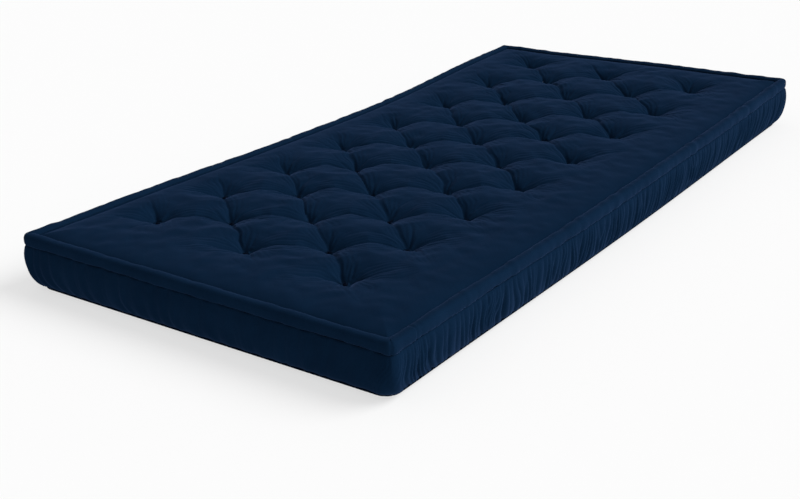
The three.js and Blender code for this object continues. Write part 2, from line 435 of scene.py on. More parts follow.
# The piping colours are nearly black: the piping's own navy darkened further as painted shade for the
# contact shadow along the bottom edge.
PIPING_SHADE_DARK, PIPING_SHADE_LIGHT = (0.0008, 0.003, 0.008), (0.0015, 0.005, 0.013)

NAVY = cloth_material("navy_drill", NAVY_DARK, NAVY_LIGHT, DRILL_RIBS)
NAVY_TRIM = cloth_material("navy_trim_drill", TRIM_DARK, TRIM_LIGHT, TRIM_RIBS)
PIPING = cloth_material("piping_drill_painted_shade", PIPING_SHADE_DARK, PIPING_SHADE_LIGHT, PIPING_RIBS, 0.0)
COTTON = fibre_material("cotton_felt", (0.5, 0.46, 0.38), (0.8, 0.77, 0.7), 30.0, 0.003)
WOOL = fibre_material("dark_wool_tuft", (0.0008, 0.0022, 0.007), (0.002, 0.005, 0.014), 500.0, 0.0008)
LATEX = latex_material("latex_foam")
TWINE = twine_material("waxed_navy_twine", (0.0008, 0.002, 0.006), (0.002, 0.006, 0.016), TWINE_RIBS)


def finish_piece(piece, material, nodes=()):
    """Gives a piece its material and its slot under the root body, and hides the CAD nodes it stands
    for.
    """
    piece.data.materials.append(material)
    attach(piece, "root")
    if nodes:
        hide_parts(*nodes)


# ---- the mattress as it lies

SLUMP_PLACE = 0.15
SLUMP_REACH = 0.55
SLUMP_IN = 0.015
SLUMP_DOWN = 0.13
RIGHT_SWELL = 0.011
HEAD_SWELL = 0.014
HEAD_LIFT = 0.08
FOOT_LIFT = 0.035
CORNER_OUT = 0.0105
SWELL_REACH = 0.7
WAVE_HEIGHT = 0.008
# Radians per metre and start, of the waves in height.
LEFT_WAVE = (9.1, 1.3)
RIGHT_WAVE = (7.3, 0.4)
HEAD_WAVE = (11.7, 0.9)


def settled(points):
    """Moves points of a dead straight mattress to where a soft one lies.

    The left side slumps, the right side and the head end swell, and the near left corner is
    pushed out. left, right, head and foot are 1 at their own edge and fade towards the other.
    """
    x, y, z = points
    left = np.clip((HALF_WIDTH - x) / (2 * HALF_WIDTH), 0, 1) ** 2
    right = np.clip((HALF_WIDTH + x) / (2 * HALF_WIDTH), 0, 1) ** 2
    head = np.clip((HALF_LENGTH + y) / (2 * HALF_LENGTH), 0, 1) ** 3
    foot = np.clip((HALF_LENGTH - y) / (2 * HALF_LENGTH), 0, 1) ** 8
    slump = np.exp(-(((y - SLUMP_PLACE) / SLUMP_REACH) ** 2)) * left
    middle = 1 - np.clip(np.abs(x) / HALF_WIDTH, 0, 1) ** 2
    waves = np.sin(LEFT_WAVE[0] * y + LEFT_WAVE[1]) * left
    waves += np.sin(RIGHT_WAVE[0] * y + RIGHT_WAVE[1]) * right
    waves += np.sin(HEAD_WAVE[0] * x + HEAD_WAVE[1]) * head
    moved_x = x + SLUMP_IN * slump + RIGHT_SWELL * right * np.exp(-((y / SWELL_REACH) ** 2))
    moved_x -= CORNER_OUT * foot * left
    moved_y = y + HEAD_SWELL * head * (0.4 * right + 0.6 * middle)
    lift = HEAD_LIFT * head * right + FOOT_LIFT * foot * left - SLUMP_DOWN * slump
    moved_z = z * (1 + lift + WAVE_HEIGHT * waves)
    return np.stack([moved_x, moved_y, moved_z])


# ---- top face

TOP_RIM = 0.1085
TOP_INSET = 0.024
CROWN = 0.0125
TIE_SEAT = 0.0905
TIE_SCATTER = 0.005
TOP_CLOTH = 0.006
TOP_GRID = (356, 772)
TOP_CUT = 0.008
TOP_BEND = 0.012
DETAIL_GRID = (232, 108)
DETAIL_SPACING = 0.008
# From a tie to its diagonal neighbours, and how far off one of them may stand.
TIE_STEP = (0.13, 0.108)
TIE_SEARCH = 0.055
DIMPLE_DEPTH = 0.027
DIMPLE_REACH = 0.04
CREASE_DEPTH = 0.0095
CREASE_NARROW = 0.0048
CREASE_BROAD = 0.03
OUTER_CREASE_REACH = 0.07
OUTER_PLEAT_REACH = 0.12
END_REACH = 0.06
PLEAT_SHARES = 32
PLEAT_WINDOW = 0.15
PLEAT_PERIOD = 0.27
PLEAT_SLOPE = 0.55
PLEAT_DEEPEST = 0.0048
STAR_CREASES = 13
STAR_REACH = 0.036
STAR_DEPTH = 0.0056
STAR_WIDTH = 0.0023


def tie_lines(places):
    """Lines from tie to neighbouring tie, and from outer ties on towards the edge.

    Each is (start, end, joined): joined is false where no tie stands at the end.
    """
    lines = []
    for first, place in enumerate(places):
        for step in ((1, 1), (1, -1), (-1, 1), (-1, -1)):
            end = place + np.multiply(step, TIE_STEP)
            gaps = np.hypot(*(places - end).T)
            second = int(gaps.argmin())
            if gaps[second] > TIE_SEARCH:
                lines.append((place, end, False))
            elif second > first:
                lines.append((place, places[second], True))
    return lines


def tie_distance(x, y, places):
    nearest = np.full(x.shape, 1.0)
    for place_x, place_y in places:
        nearest = np.minimum(nearest, np.hypot(x - place_x, y - place_y))
    return nearest


def line_parts(x, y, line):
    """Within reach of a line: the window, distances to both its ends, and the arc coordinate.

    The arc coordinate is the same all along each circle arc through both ends. It is 0 on the
    straight line itself and grows to half pi on the circle that has the line as its diameter.
    """
    start, end, _ = line
    middle = (start + end) / 2
    rows = np.abs(y[:, 0] - middle[1]) < PLEAT_WINDOW
    columns = np.abs(x[0] - middle[0]) < PLEAT_WINDOW
    window = np.ix_(rows, columns)
    from_x = x[window] - start[0]
    from_y = y[window] - start[1]
    to_x = x[window] - end[0]
    to_y = y[window] - end[1]
    cross = from_x * to_y - from_y * to_x
    dot = from_x * to_x + from_y * to_y
    arc = np.arctan2(cross, -dot)
    return window, np.hypot(from_x, from_y), np.hypot(to_x, to_y), arc


def creases_and_pleats(x, y, lines, wander, rng):
    """How far the cloth dips between ties: one crease on each line, and finer pleats beside it."""
    dip = np.zeros(x.shape)
    for line in lines:
        length = np.hypot(*(line[1] - line[0]))
        shares = rng.uniform(0.25, 1.0, PLEAT_SHARES)
        shift = rng.uniform(0, 1)
        strength = rng.uniform(0.75, 1.1)
        bow = rng.uniform(-0.12, 0.12)
        window, from_start, from_end, arc = line_parts(x, y, line)
        arc = arc + bow + 0.06 * wander[window]
        away = np.abs(arc) * from_start * from_end / length
        nearest_end = np.minimum(from_start, from_end)
        if line[2]:
            crease_reach = pleat_reach = 1.0
        else:
            nearest_end = from_start
            crease_reach = np.exp(-((from_start / OUTER_CREASE_REACH) ** 2))
            pleat_reach = np.exp(-((from_start / OUTER_PLEAT_REACH) ** 3))
        narrow = 1.1 * np.exp(-away / CREASE_NARROW)
        broad = 0.45 * np.exp(-((away / CREASE_BROAD) ** 2))
        crease = CREASE_DEPTH * (narrow + broad)
        ends = np.exp(-nearest_end / END_REACH)
        inside = np.abs(arc) < 1.4
        dip_here = crease * strength * (0.42 + 0.58 * ends) * np.exp(-(arc**4)) * crease_reach
        phase = arc / PLEAT_PERIOD + shift
        pleat = np.floor(phase + 0.5).astype(int)
        valley = 1 - np.abs(np.sin(math.pi * phase))
        spacing = PLEAT_PERIOD * from_start * from_end / length
        deep = np.minimum(PLEAT_SLOPE * spacing, PLEAT_DEEPEST)
        deep *= np.exp(-((arc / 0.9) ** 2)) * (1 - np.exp(-nearest_end / 0.01))
        deep *= 0.3 + 0.7 * np.exp(-((nearest_end / END_REACH) ** 2))
        dip_here += deep * valley**1.4 * shares[pleat % PLEAT_SHARES] * pleat_reach
        dip[window] = np.maximum(dip[window], np.where(inside, dip_here, 0))
    return dip


def stars(x, y, places, rng):
    """How far the cloth dips in short creases that run out from each tie."""
    dip = np.zeros(x.shape)
    for place_x, place_y in places:
        rows = np.abs(y[:, 0] - place_y) < 3 * STAR_REACH
        columns = np.abs(x[0] - place_x) < 3 * STAR_REACH
        window = np.ix_(rows, columns)
        away_x = x[window] - place_x
        away_y = y[window] - place_y
        away = np.hypot(away_x, away_y)
        turns = (np.arange(STAR_CREASES) + rng.uniform(-0.35, 0.35, STAR_CREASES)) / STAR_CREASES
        shares = rng.uniform(0.2, 1, STAR_CREASES)
        curls = rng.uniform(-9, 9, STAR_CREASES)
        for turn, share, curl in zip(turns * 2 * math.pi, shares, curls):
            heading = turn + curl * away
            forward = away_x * np.cos(heading) + away_y * np.sin(heading)
            aside = np.abs(away_y * np.cos(heading) - away_x * np.sin(heading))
            deep = STAR_DEPTH * share * np.exp(-((away / (STAR_REACH * (0.6 + share))) ** 2))
            deep *= np.exp(-aside / STAR_WIDTH) * (forward > 0) * (1 - np.exp(-away / 0.006))
            dip[window] = np.maximum(dip[window], deep)
    return dip


def stuffing_height(x, y, places, lines, half_width, half_length):
    """Height that the stuffing would fill to: pillows between creases, dimples at the ties."""
    detail = np.random.default_rng(SEED + 1)
    broad = resized(noise(DETAIL_GRID, DETAIL_SPACING, 0.06, detail), x.shape)
    wander = resized(noise(DETAIL_GRID, DETAIL_SPACING, 0.07, detail), x.shape)
    rim = np.minimum(half_width - np.abs(x), half_length - np.abs(y))
    height = TOP_RIM + CROWN * (1 - 0.2 * np.exp(-rim / 0.006) - 0.8 * np.exp(-rim / 0.028))
    height -= DIMPLE_DEPTH * np.exp(-((tie_distance(x, y, places) / DIMPLE_REACH) ** 1.15))
    height -= creases_and_pleats(x, y, lines, wander, detail) * (1 - np.exp(-rim / 0.02))
    height -= stars(x, y, places, np.random.default_rng(SEED + 2))
    return height + 0.0008 * broad * (1 - np.exp(-rim / 0.03))


def relaxed_face(places, half_sizes, counts, cut, rim_height, seat, shape, side, rng, **give):
    """Relaxes a whole face of cloth from coarse to fine. side is +1 for the top, -1 underneath.

    The cloth is cut fuller than its shape by the share cut. give is passed on to relax.
    """
    half_width, half_length = half_sizes
    points = None
    for skip in (4, 2, 1):
        columns = counts[0] // skip + 1
        rows = counts[1] // skip + 1
        x, y = np.meshgrid(
            np.linspace(-half_width, half_width, columns) * side,
            np.linspace(-half_length, half_length, rows),
        )
        spacing_x = 2 * half_width / (columns - 1)
        rim = np.minimum(half_width - np.abs(x), half_length - np.abs(y))
        fullness = 1 + cut * (0.25 + 0.75 * (1 - np.exp(-((rim / 0.05) ** 2))))
        target = np.stack([x, y, shape(x, y)]).astype(np.float32)
        if points is None:
            points = target.copy()
        else:
            points = np.stack([resized(field, x.shape) for field in points]).astype(np.float32)
            points[2] = target[2]
        points[2] += 0.0001 * rng.standard_normal(x.shape)
        held = np.zeros(x.shape, bool)
        held[[0, -1]] = True
        held[:, [0, -1]] = True
        points[:, held] = np.stack([x, y, np.full_like(x, rim_height)])[:, held]
        near = tie_distance(x, y, places) < max(0.0035, 0.75 * spacing_x)
        points[:, near] = np.stack([x, y, np.full_like(x, seat)])[:, near]
        outward = np.array([0, 0, side], np.float32)[:, None, None]
        points = relax(points, target, (fullness, fullness), outward, held | near, **give)
    return points, np.stack([x, y])


def make_top(places):
    half_sizes = (HALF_WIDTH - TOP_INSET, HALF_LENGTH - TOP_INSET)
    lines = tie_lines(places)

    def shape(x, y):
        return stuffing_height(x, y, places, lines, *half_sizes)

    measures = (half_sizes, TOP_GRID, TOP_CUT, TOP_RIM, TIE_SEAT)
    return relaxed_face(places, *measures, shape, 1, rng, bend=TOP_BEND)


rng = np.random.default_rng(SEED)
places = tie_places()
places = places + rng.uniform(-TIE_SCATTER, TIE_SCATTER, places.shape)
top_points, top_flat = make_top(places)
top_back = top_points.copy()
top_back[2] -= TOP_CLOTH
top = closed_sheet("top_panel_cloth", settled(top_points), settled(top_back), coordinates=top_flat)
finish_piece(top, NAVY, ["top_panel"])

# ---- underside

BASE_INSET = 0.0252
BASE_SEAT = 0.0095
BASE_CLOTH = 0.0025
BASE_GRID = (168, 368)
BASE_CUT = 0.016
BASE_PUSH = 0.02
BASE_DIMPLE = (0.013, 0.022)


def make_base(places):
    half_sizes = (HALF_WIDTH - BASE_INSET, HALF_LENGTH - BASE_INSET)

    def shape(x, y):
        depth, reach = BASE_DIMPLE
        return -0.002 + depth * np.exp(-((tie_distance(x, y, places) / reach) ** 1.5))

    measures = (half_sizes, BASE_GRID, BASE_CUT, BASE_CLOTH, BASE_SEAT)
    return relaxed_face(places, *measures, shape, -1, rng, push=BASE_PUSH, floor=0.0)


base_points, base_flat = make_base(places)
base_back = base_points.copy()
base_back[2] += BASE_CLOTH
base = closed_sheet(
    "base_panel_cloth", settled(base_points), settled(base_back), coordinates=base_flat
)
finish_piece(base, NAVY, ["base_panel"])

# ---- strips round the mattress


def smooth_section(section, count):
    """Even points along a rounded curve through a section of [inset, height, rounding] rows, in mm."""
    rows = np.array(section, float) * MM
    for _ in range(3):
        ends = rows[[0, -1]]
        cut_rows = np.empty((2 * len(rows) - 2, 3))
        cut_rows[0::2] = 0.75 * rows[:-1] + 0.25 * rows[1:]
        cut_rows[1::2] = 0.25 * rows[:-1] + 0.75 * rows[1:]
        rows = np.concatenate([ends[:1], cut_rows, ends[1:]])
    steps = np.hypot(*np.diff(rows[:, :2], axis=0).T)
    along = np.concatenate([[0], np.cumsum(steps)])
    even = np.linspace(0, along[-1], count)
    return np.stack([np.interp(even, along, rows[:, k]) for k in range(3)])


def ring(section, counts):
    """Points and outward directions of a strip round the mattress, each (3, rows, columns).

    Columns run counter-clockwise from the middle of the foot end's right corner. counts says how
    many there are on a long side, on a short side and round a corner.
    """
    long_count, short_count, corner_count = counts
    inset, height, rounding = section
    radius = np.maximum(rounding - inset, 2 * MM)
    middle_x = (HALF_WIDTH - inset - radius)[:, None]
    middle_y = (HALF_LENGTH - inset - radius)[:, None]
    radius = radius[:, None]
    half_corner = corner_count // 2
    quarter_turn = np.arange(half_corner) / half_corner * math.pi / 4
    xs, ys, directions = [], [], []
    sides = [(1, -1, long_count), (1, 1, short_count), (-1, 1, long_count), (-1, -1, short_count)]
    for quarter, (sign_x, sign_y, count) in enumerate(sides):
        next_x, next_y, _ = sides[(quarter + 1) % 4]
        facing = quarter * math.pi / 2
        leaving = facing - math.pi / 4 + quarter_turn
        arriving = facing + quarter_turn
        share = np.arange(count) / count
        reach_x = radius * math.cos(facing)
        reach_y = radius * math.sin(facing)
        xs.append(sign_x * middle_x + radius * np.cos(leaving))
        ys.append(sign_y * middle_y + radius * np.sin(leaving))
        xs.append((sign_x * (1 - share) + next_x * share) * middle_x + reach_x)
        ys.append((sign_y * (1 - share) + next_y * share) * middle_y + reach_y)
        xs.append(next_x * middle_x + radius * np.cos(arriving))
        ys.append(next_y * middle_y + radius * np.sin(arriving))
        directions += [leaving, np.full(count, facing), arriving]
    x = np.concatenate(xs, axis=1)
    y = np.concatenate(ys, axis=1)
    z = np.broadcast_to(height[:, None], x.shape)
    direction = np.concatenate(directions)[None, :]
    climb = np.gradient(height)
    lean = np.gradient(inset)
    size = np.hypot(climb, lean)
    flat_share = (climb / size)[:, None]
    rise_share = (lean / size)[:, None] * np.ones_like(direction)
    outward = np.stack([flat_share * np.cos(direction), flat_share * np.sin(direction), rise_share])
    return np.stack([x, y, z]), outward


SIDE_NAMES = ("right", "head", "left", "foot")

BAND_SECTION = [
    [17, 8.4, 46],
    [13.5, 9.6, 43],
    [8.5, 15, 36],
    [4, 28, 27],
    [1, 44, 21],
    [-0.8, 60, 17],
    [-1, 74, 15],
    [0, 86, 15],
    [1.2, 91.6, 15],
    [4.2, 93.3, 16],
]
BAND_BACK = [
    [23, 10, 46],
    [18, 15, 44],
    [13, 26, 40],
    [9, 50, 32],
    [7.5, 74, 22],
    [8.5, 88, 18],
    [9, 92, 20],
]
ROLL_SECTION = [
    [4.2, 93.7, 16],
    [1.4, 94.7, 14],
    [0.3, 98.5, 14],
    [0.1, 105, 14],
    [0.8, 112, 14],
    [4, 116.4, 14],
    [9, 117.8, 14],
    [15, 117.4, 14],
    [20.5, 115.6, 14],
    [23.8, 112, 14],
    [24.2, 107, 14],
]
ROLL_BACK = [
    [7.5, 95, 14],
    [16, 96, 14],
    [21, 100, 14],
    [23, 106, 14],
]
# Columns on a long side, on a short side and round a corner, and rows up the section.
BAND_COUNTS = (940, 436, 16)
ROLL_COUNTS = (720, 336, 8)
CORD_COUNTS = (720, 336, 24)
BAND_ROWS = 37
ROLL_ROWS = 21
CORD_ROWS = 17
# Distances between folds: close and broad ones of the band, and the puckers along three seams.
DENSE_PITCH = 0.0155
BROAD_PITCH = 0.038
LOWER_PUCKERS = 0.021
UPPER_PUCKERS = 0.0125
CORD_PINCHES = 0.009
FOLD_STRENGTHS = 4096
BAND_CUT = 0.012
BAND_BULGE = 0.003
CORNER_FADE = 61
PUCKER_DEPTH = 0.0016
CORD_RADIUS = 4
CORD_INSET = 20.5
CORD_HEIGHT = 4.6
CORD_ROUNDING = 48
ROLL_JOINT = 0.075


def strip_columns(counts):
    """First column of each side, and one past the last."""
    long_count, short_count, corner_count = counts
    sizes = [count + corner_count for count in (long_count, short_count, long_count, short_count)]
    return np.concatenate([[0], np.cumsum(sizes)])


def cut_side(field, starts, side):
    """The columns of one side, its two end columns included."""
    columns = np.arange(starts[side], starts[side + 1] + 1) % field.shape[2]
    return field[:, :, columns]


def steps_between(points):
    """Distances to the next point across and along, at every point of a ring."""
    across = np.sqrt(((np.roll(points, -1, axis=2) - points) ** 2).sum(axis=0))
    steps = np.sqrt((np.diff(points, axis=1) ** 2).sum(axis=0))
    along = np.concatenate([steps, steps[-1:]], axis=0)
    return across, along


def distance_around(points):
    """Mean distance round a ring, at each of its columns."""
    return np.cumsum(steps_between(points)[0].mean(axis=0))


def flat_coordinates(points):
    up = np.cumsum(steps_between(points)[1].mean(axis=1))
    return np.stack(np.meshgrid(distance_around(points), up))


def long_columns(counts, width):
    """Share of each column that belongs to a long side, fading over the corners."""
    starts = strip_columns(counts)
    share = np.zeros(starts[-1])
    for side in (0, 2):
        share[starts[side] : starts[side + 1]] = 1
    kernel = np.hanning(width)
    wrapped = np.concatenate([share[-width:], share, share[:width]])
    return np.convolve(wrapped, kernel / kernel.sum(), "same")[width:-width]


def folds(around, shape, pitch, lean, rng):
    """Upright folds: the depth of their sharp valleys and of a soft wave, from 0 to 1 at each point.

    pitch is the distance between valleys and lean how far they wander sideways, both along the
    strip in metres.
    """
    step = np.gradient(around)
    wander = noise((1, shape[1]), step.mean(), 0.06, rng)[0]
    phase = np.cumsum(step / (pitch * np.clip(1 + 0.28 * wander, 0.5, 1.6)))
    up = np.linspace(0, 1, shape[0])[:, None]
    sway = noise((1, shape[1]), step.mean(), 0.09, rng)[0]
    curl = noise((1, shape[1]), step.mean(), 0.12, rng)[0]
    swing = (0.7 + 0.5 * curl) * np.sin(2 * math.pi * (up - 0.1))
    sideways = lean * (sway * (up - 0.5) * 1.6 + swing)
    moved = np.interp(around + sideways, around, phase)
    fold = np.floor(moved + 0.5).astype(int)
    strengths = rng.uniform(0.35, 1, FOLD_STRENGTHS)[fold % FOLD_STRENGTHS]
    valley = (1 - np.abs(np.sin(math.pi * moved))) ** 1.2
    return valley * strengths, 0.5 + 0.5 * np.cos(2 * math.pi * moved)


def make_band():
    """The gathered side band: cut fuller than its seams, so that it stands in upright folds."""
    smooth, outward = ring(smooth_section(BAND_SECTION, BAND_ROWS), BAND_COUNTS)
    shape = smooth.shape[1:]
    is_long = long_columns(BAND_COUNTS, CORNER_FADE)
    around = distance_around(smooth)
    up = np.linspace(0, 1, shape[0])[:, None]
    body = np.clip(np.sin(math.pi * up**0.8), 0, 1) ** 0.6
    near_seam = np.exp(-(((up - 0.93) / 0.1) ** 2))
    dense, _ = folds(around, shape, DENSE_PITCH, 0.0055, rng)
    broad, wave = folds(around, shape, BROAD_PITCH, 0.005, rng)
    depth = is_long * (0.0044 * dense + 0.0028 * broad + 0.001 * wave) * body
    at_corner = 1 - np.abs(2 * is_long - 1)
    short = (0.0021 * wave + 0.0006 * dense) * body + 0.003 * broad * near_seam
    depth = (depth + (1 - is_long) * short) * (1 - 0.6 * at_corner)
    target = smooth + outward * (BAND_BULGE * body * (1 + at_corner) - depth)
    points = target + outward * (0.0003 * noise(shape, 2 * MM, 7 * MM, rng))
    held = np.zeros(shape, bool)
    held[[0, -1]] = True
    points[:, held] = smooth[:, held]
    fullness = (1 + BAND_CUT * is_long[None, :], 1.004)
    return relax(points, target, fullness, outward, held, loop=True)


def make_rolls():
    """The stuffed rolled edge, a little puckered along both its seams, with one joint in it."""
    smooth, outward = ring(smooth_section(ROLL_SECTION, ROLL_ROWS), ROLL_COUNTS)
    starts = strip_columns(ROLL_COUNTS)
    shape = smooth.shape[1:]
    around = distance_around(smooth)
    up = np.linspace(0, 1, shape[0])[:, None]
    lower, _ = folds(around, shape, LOWER_PUCKERS, 0, rng)
    upper, _ = folds(around, shape, UPPER_PUCKERS, 0, rng)
    depth = PUCKER_DEPTH * lower * np.exp(-up / 0.16) + 0.0007 * upper * np.exp(-(1 - up) / 0.14)
    joint = np.exp(-(((smooth[1] + HALF_LENGTH - ROLL_JOINT) / 0.0022) ** 2)) * (smooth[0] > 0)
    depth += PUCKER_DEPTH * joint
    swell = noise((1, shape[1]), 2.6 * MM, 0.05, rng)
    target = smooth + outward * (0.0005 * swell - depth)
    target[2] -= 0.0012 * lower[:1] * np.exp(-up / 0.2)
    held = np.zeros(shape, bool)
    held[[0, -1]] = True
    held[:, starts[:4]] = True
    target[:, :, starts[:4]] -= outward[:, :, starts[:4]] * 0.0013
    return relax(target, target, (1.006, 1.004), outward, held, loop=True)


def make_cord():
    """The thin cord sewn into the bottom edge, pinched a little at each stitch."""
    angles = np.radians(np.linspace(-150, 150, CORD_ROWS))
    inset = (CORD_INSET - CORD_RADIUS * np.cos(angles)) * MM
    height = (CORD_HEIGHT + CORD_RADIUS * np.sin(angles)) * MM
    section = np.stack([inset, height, np.full(CORD_ROWS, CORD_ROUNDING * MM)])
    smooth, outward = ring(section, CORD_COUNTS)
    shape = smooth.shape[1:]
    around = distance_around(smooth)
    pinch, _ = folds(around, shape, CORD_PINCHES, 0.002, rng)
    return smooth - outward * 0.0004 * pinch


def add_strip(kind, points, back, counts, material):
    """Cuts a ring of cloth at the corners into four closed pieces, one for each side."""
    starts = strip_columns(counts)
    lying = settled(points)
    lying_back = settled(back)
    flat = flat_coordinates(points)
    normals = ring_normals(lying)
    for side, side_name in enumerate(SIDE_NAMES):
        piece = closed_sheet(
            f"{kind}_{side_name}_cloth",
            cut_side(lying, starts, side),
            cut_side(lying_back, starts, side),
            coordinates=cut_side(flat, starts, side),
            normals=cut_side(normals, starts, side),
        )
        finish_piece(piece, material, [f"{kind}_{side_name}"])


band_points = make_band()
band_back, _ = ring(smooth_section(BAND_BACK, BAND_ROWS), BAND_COUNTS)
add_strip("side_band", band_points, band_back, BAND_COUNTS, NAVY)
roll_points = make_rolls()
roll_back, _ = ring(smooth_section(ROLL_BACK, ROLL_ROWS), ROLL_COUNTS)
add_strip("edge_roll", roll_points, roll_back, ROLL_COUNTS, NAVY_TRIM)
cord_points = make_cord()
cord_core = np.array([[CORD_INSET], [CORD_HEIGHT], [CORD_ROUNDING]]) * MM * np.ones((3, CORD_ROWS))
cord_core[1] += np.linspace(-0.5, 0.5, CORD_ROWS) * MM
cord_back, _ = ring(cord_core, CORD_COUNTS)
# The base cord's near-black colour is partly navy cloth and partly painted shade for the contact
# shadow along the floor.
add_strip("base_cord", cord_points, cord_back, CORD_COUNTS, PIPING)

# ---- small tubes, stitches and ties


TUBE_SIDES = 5
TUFT_POINTS = 24
# Share of the radius and of the thickness, from the tuft's underside round to its middle.
TUFT_PROFILE = [(0.25, 0.1), (0.8, 0.0), (1.0, 0.35), (0.9, 0.75)]
TUFT_PROFILE += [(0.6, 1.0), (0.25, 0.9), (0.08, 0.7)]


def point_rows(x, y, z):
    return np.stack(np.broadcast_arrays(x, y, z), axis=1)


def lengths_along(path):
    """Distance from the start to each point of a path, rows of x, y and z."""
    return np.concatenate([[0], np.cumsum(np.sqrt((np.diff(path, axis=0) ** 2).sum(axis=1)))])


def tube(path, radius):
    """Vertices, faces and flat coordinates of a closed tube along a path, rows of x, y and z."""
    sides = TUBE_SIDES
    path = np.asarray(path, float)
    along = np.gradient(path, axis=0)
    along /= np.maximum(np.sqrt((along**2).sum(axis=1, keepdims=True)), 1e-12)
    helper = np.where(np.abs(along[:, 2:3]) < 0.9, [[0.0, 0.0, 1.0]], [[1.0, 0.0, 0.0]])
    across = np.cross(along, helper)
    across /= np.sqrt((across**2).sum(axis=1, keepdims=True))
    up = np.cross(along, across)
    turn = np.arange(sides) / sides * 2 * math.pi
    turned = turn[None, :, None]
    circle = np.cos(turned) * across[:, None] + np.sin(turned) * up[:, None]
    points = (path[:, None] + radius * circle).reshape(-1, 3)
    faces = []
    for ring_start in range(0, (len(path) - 1) * sides, sides):
        for k in range(sides):
            following = (k + 1) % sides
            upper = ring_start + sides
            faces.append([ring_start + k, upper + k, upper + following, ring_start + following])
    last = (len(path) - 1) * sides
    faces.append(list(range(sides)))
    faces.append([last + k for k in reversed(range(sides))])
    flat = np.stack([np.repeat(lengths_along(path), sides), np.tile(turn, len(path)) * radius])
    return points, faces, flat


def tuft(radius, thickness, petals, rng):
    """A little pressed disc of wool with soft lobes, its underside at height 0."""
    count = TUFT_POINTS
    turn = np.arange(count) / count * 2 * math.pi
    lobes = 1 + 0.13 * np.cos(petals * turn + rng.uniform(0, 6)) + 0.04 * rng.standard_normal(count)
    points = []
    for share, rise in TUFT_PROFILE:
        reach = radius * share * lobes
        height = thickness * rise * (1 + 0.1 * (lobes - 1))
        points.append(point_rows(reach * np.cos(turn), reach * np.sin(turn), height))
    faces = []
    last = (len(TUFT_PROFILE) - 1) * count
    for start in range(0, last, count):
        for k in range(count):
            following = (k + 1) % count
            upper = start + count
            faces.append([start + k, start + following, upper + following, upper + k])
    faces.append(list(reversed(range(count))))
    faces.append([last + k for k in range(count)])
    points = np.concatenate(points)
    return points, faces, points[:, :2].T


def joined(name, parts):
    """One object of several (points, faces, flat coordinates, material index) parts."""
    points, faces, flats, indices = [], [], [], []
    count = 0
    for part_points, part_faces, part_flat, material_index in parts:
        points.append(part_points)
        flats.append(part_flat)
        faces += [[index + count for index in face] for face in part_faces]
        indices += [material_index] * len(part_faces)
        count += len(part_points)
    mesh = bpy.data.meshes.new(name)
    mesh.from_pydata(np.concatenate(points).tolist(), [], faces)
    mesh.polygons.foreach_set("use_smooth", np.ones(len(mesh.polygons), bool))
    mesh.polygons.foreach_set("material_index", np.array(indices, np.int32))
    store_cloth_coordinates(mesh, np.concatenate(flats, axis=1))
    mesh.update()
    return add_object(name, mesh)


TUFT_RADIUS = 0.0052
TUFT_THICKNESS = 0.0026
THREAD_RADIUS = 0.0006
TAIL_LENGTH = 0.009
KNOT_SIZE = 0.0007


def knot_path(size):
    """A trefoil knot, lying flat."""
    turn = np.linspace(0, 2 * math.pi, 30)
    x = np.sin(turn) + 2 * np.sin(2 * turn)
    y = np.cos(turn) - 2 * np.cos(2 * turn)
    return size * point_rows(x, y, -0.8 * np.sin(3 * turn))


def tie_end(rng):
    """One end of a tie: a wool tuft, the knot on it and two short tails of thread."""
    parts = [(*tuft(TUFT_RADIUS, TUFT_THICKNESS, int(rng.integers(5, 8)), rng), 0)]
    knot = knot_path(KNOT_SIZE)
    knot[:, 2] += TUFT_THICKNESS + 0.0002
    parts.append((*tube(knot, THREAD_RADIUS), 1))
    for direction in rng.uniform(0, 2 * math.pi, 2):
        share = np.linspace(0, 1, 7)
        bend = direction + 0.9 * share**2
        reach = TAIL_LENGTH * share
        height = TUFT_THICKNESS + 0.0004 + 0.0012 * np.sin(math.pi * share**0.7)
        path = point_rows(reach * np.cos(bend), reach * np.sin(bend), height)
        parts.append((*tube(path, THREAD_RADIUS * 0.8), 1))
    return parts


def placed(part, place, flip):
    points, faces, flat, index = part
    points = points.copy()
    if flip:
        points[:, 1:] *= -1
    points = settled((points + place).T).T
    return points, faces, flat, index


def make_tie(name, place, rng):
    top_seat = TIE_SEAT + 0.0004
    base_seat = BASE_SEAT - 0.0003
    parts = []
    for part in tie_end(rng):
        parts.append(placed(part, (*place, top_seat), False))
    for part in tie_end(rng):
        parts.append(placed(part, (*place, base_seat), True))
    heights = np.linspace(base_seat - 0.001, top_seat + 0.001, 24)
    for side in (-1, 1):
        twist = heights * 90 + (side > 0) * math.pi
        path_x = place[0] + THREAD_RADIUS * np.cos(twist)
        path_y = place[1] + THREAD_RADIUS * np.sin(twist)
        path = point_rows(path_x, path_y, heights)
        parts.append(placed((*tube(path, THREAD_RADIUS), 1), (0, 0, 0), False))
    tie = joined(f"{name}_thread", parts)
    finish_piece(tie, WOOL, [name])
    tie.data.materials.append(TWINE)


for tie_name, tie_place in zip(TIES, places):
    make_tie(tie_name, tie_place, rng)

STITCH_PITCH = 0.0072
STITCH_LENGTH = 0.0046
STITCH_RADIUS = 0.00038
STITCH_SINK = 0.0001
ROLL_STITCH_ROW = 18
BAND_STITCH_ROW = 2


